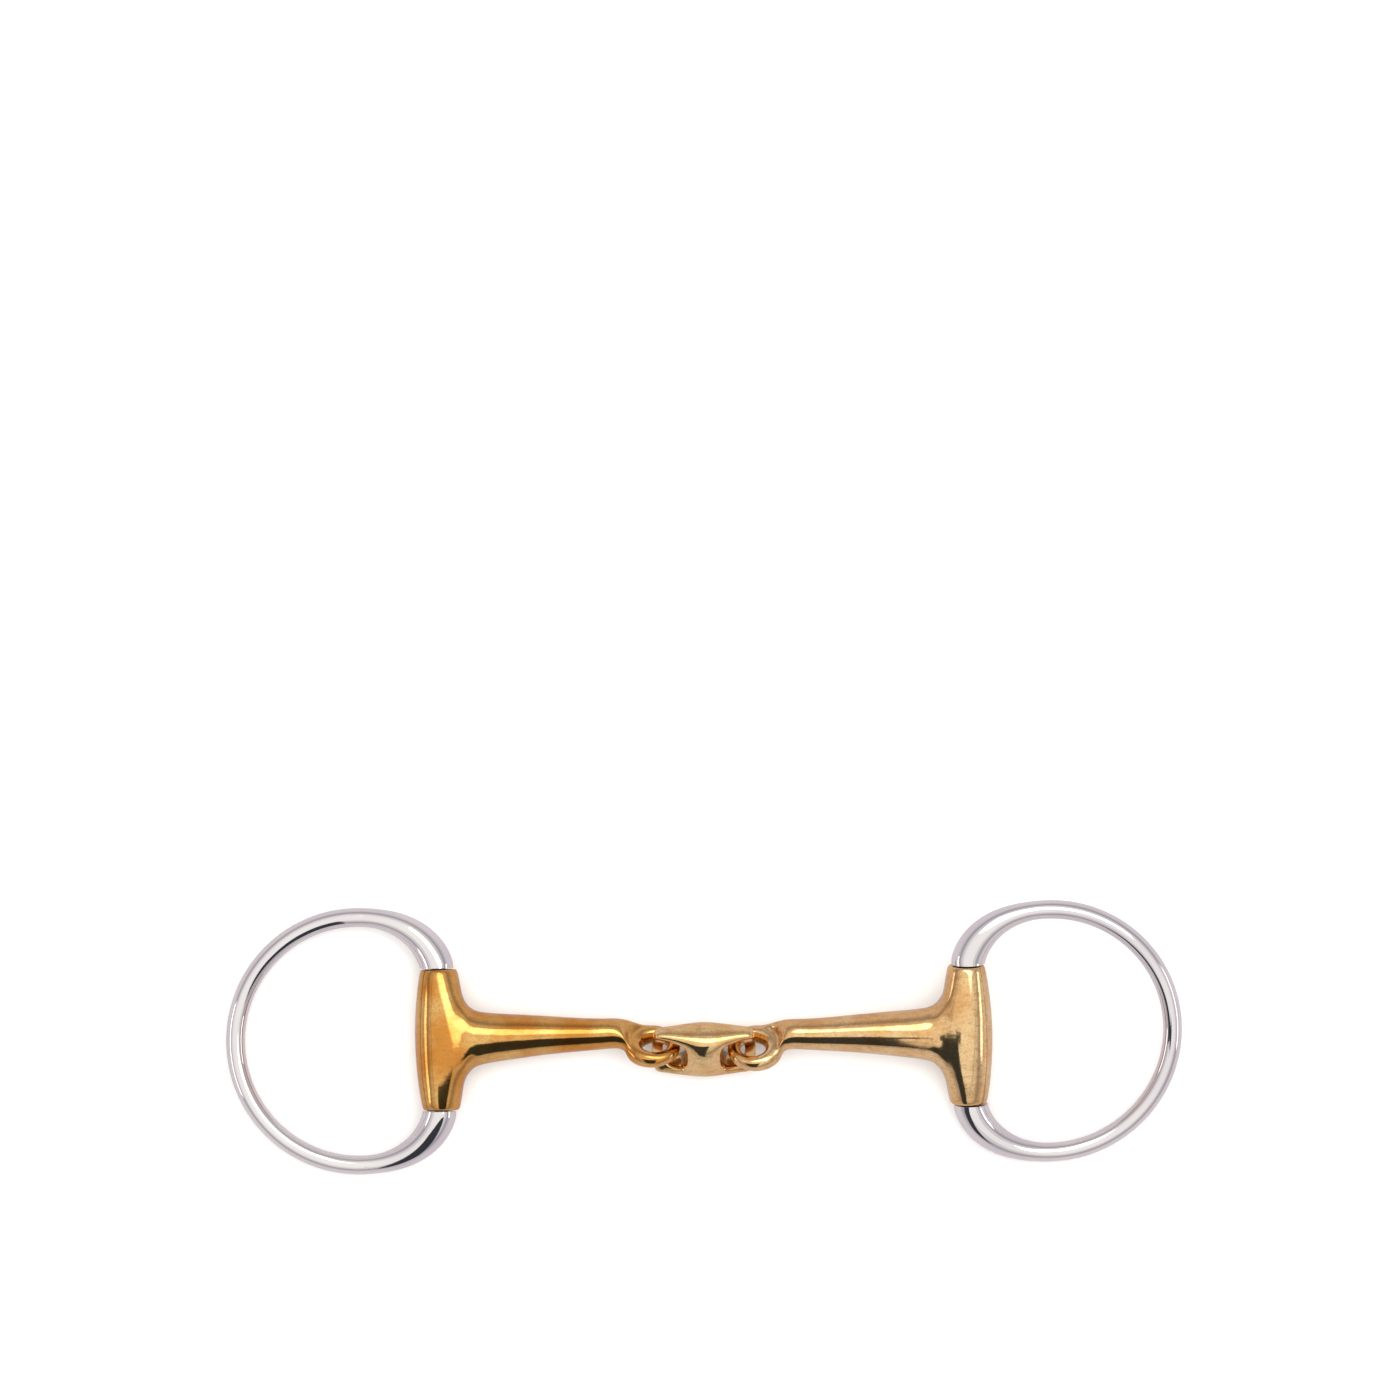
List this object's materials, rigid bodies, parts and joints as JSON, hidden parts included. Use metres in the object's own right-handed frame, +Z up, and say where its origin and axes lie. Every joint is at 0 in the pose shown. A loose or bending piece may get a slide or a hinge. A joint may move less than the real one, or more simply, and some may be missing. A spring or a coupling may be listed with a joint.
{
  "type": "snaffle bit",
  "caption": "Double-jointed eggbutt snaffle bit: copper-alloy mouthpiece arms and oval centre link, with swinging polished steel cheek rings, lying flat.",
  "frame": {"origin": "on the surface that the bit lies on, below the middle of its bounding box", "axes": "+X along the mouthpiece from the left ring to the right ring, +Y along the cheek barrels, +Z up"},
  "size_m": [0.2656, 0.0745, 0.0186],
  "materials": {
    "copper_alloy": "polished copper alloy with orange-brown tarnish",
    "polished_steel": "mirror-polished stainless steel",
    "pin_steel": "plain turned steel"
  },
  "bodies": {
    "link": {"centre_link": "copper_alloy"},
    "left_arm": {"left_arm": "copper_alloy"},
    "right_arm": {"right_arm": "copper_alloy"},
    "left_cheek": {"left_ring": "polished_steel", "left_hinge_pin": "pin_steel"},
    "right_cheek": {"right_ring": "polished_steel", "right_hinge_pin": "pin_steel"}
  },
  "joints": [
    {"name": "left_fold", "type": "hinge", "parent": "link", "child": "left_arm", "pos_m": [-0.0113, -0.0034, 0.008], "axis": [0, 1, 0], "range_deg": [-38, 38]},
    {"name": "right_fold", "type": "hinge", "parent": "link", "child": "right_arm", "pos_m": [0.0113, -0.0034, 0.008], "axis": [0, 1, 0], "range_deg": [-38, 38]},
    {"name": "left_ring_swing", "type": "hinge", "parent": "left_arm", "child": "left_cheek", "pos_m": [-0.07323, -0.00002, 0.00719], "axis": [-0.0105, 0.9999, 0], "range_deg": [-162, 168]},
    {"name": "right_ring_swing", "type": "hinge", "parent": "right_arm", "child": "right_cheek", "pos_m": [0.07312, 0.00025, 0.01001], "axis": [-0.0137, 0.9847, 0.1736], "range_deg": [-171, 159]}
  ]
}
